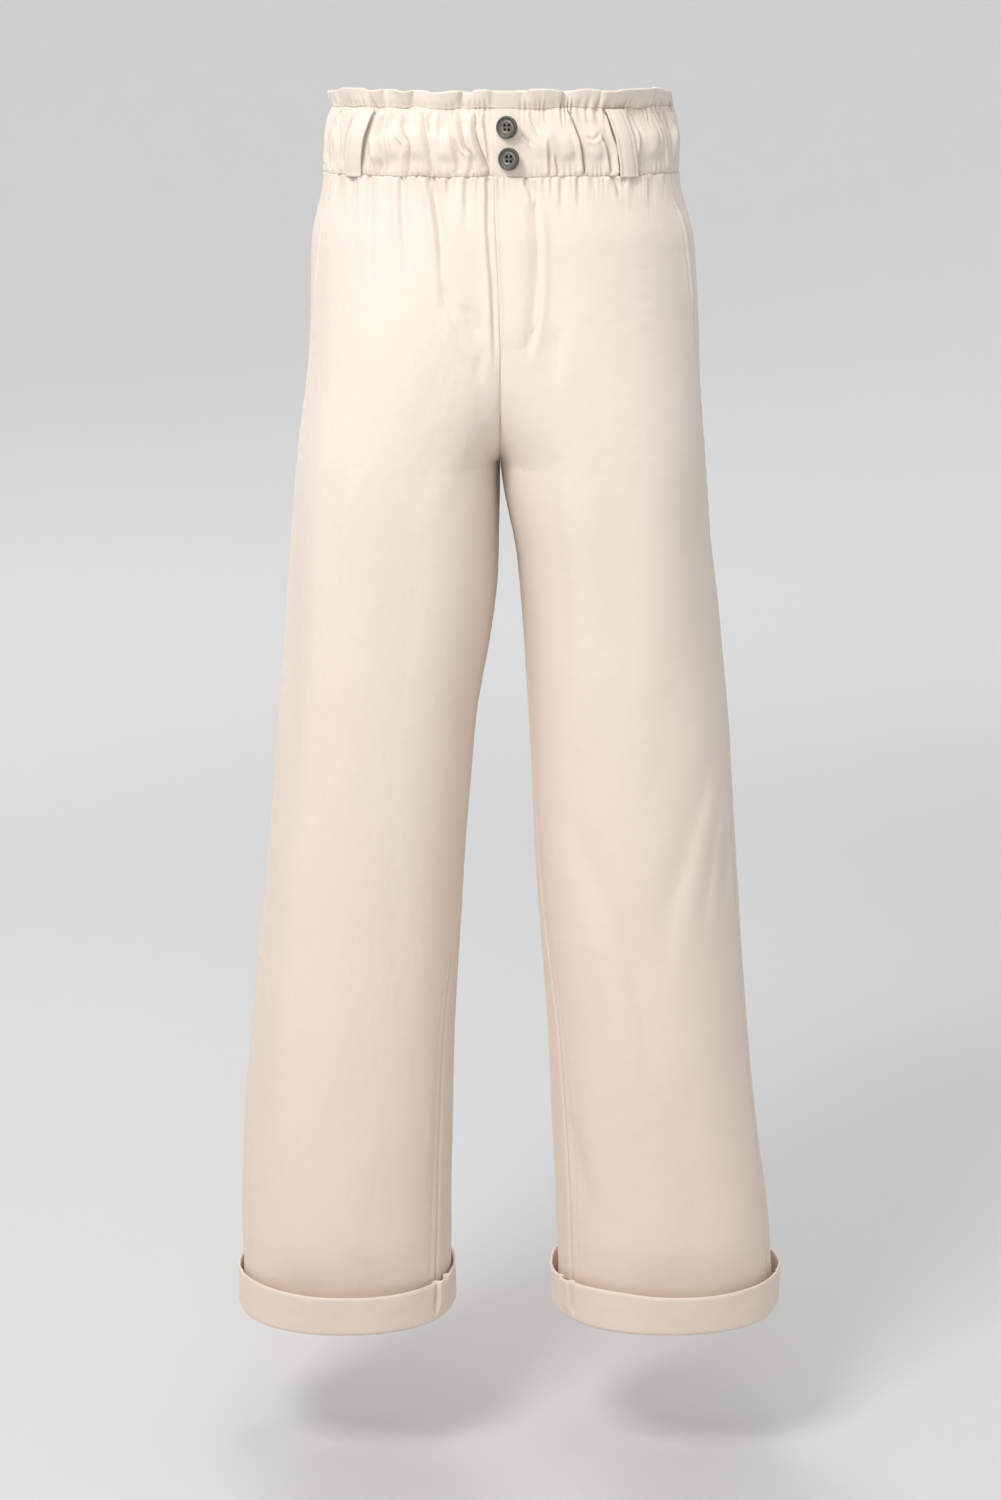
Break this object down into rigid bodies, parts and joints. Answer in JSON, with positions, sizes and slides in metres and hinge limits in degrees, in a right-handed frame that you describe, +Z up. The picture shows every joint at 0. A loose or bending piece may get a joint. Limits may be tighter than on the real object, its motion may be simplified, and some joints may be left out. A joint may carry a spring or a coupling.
{
  "type": "paperbag waist trousers",
  "caption": "High-rise wide-leg cotton trousers with a gathered elastic waist under a frill, a buttoned fly, belt loops and turned-up hems.",
  "frame": {"origin": "centre of the elastic waistband, where the wearer's waist holds the garment up", "axes": "+Z up along the legs, -Y towards the front of the garment, +X towards the wearer's left"},
  "size_m": [0.4816, 0.2257, 1.0421],
  "materials": {
    "twill": "matt ecru cotton twill with a fine diagonal weave and a soft hand",
    "gunmetal": "dark antiqued metal, worn lighter on its raised ring"
  },
  "bodies": {
    "root": {"front_left": "twill", "front_right": "twill", "back_left": "twill", "back_right": "twill", "waistband": "twill", "frill": "twill", "fly_facing": "twill", "pocket_facing_left": "twill", "pocket_facing_right": "twill", "belt_loop_front_left": "twill", "belt_loop_front_right": "twill", "belt_loop_back_left": "twill", "belt_loop_back_right": "twill", "cuff_left": "twill", "cuff_right": "twill", "button_upper": "gunmetal", "button_lower": "gunmetal"}
  },
  "joints": []
}
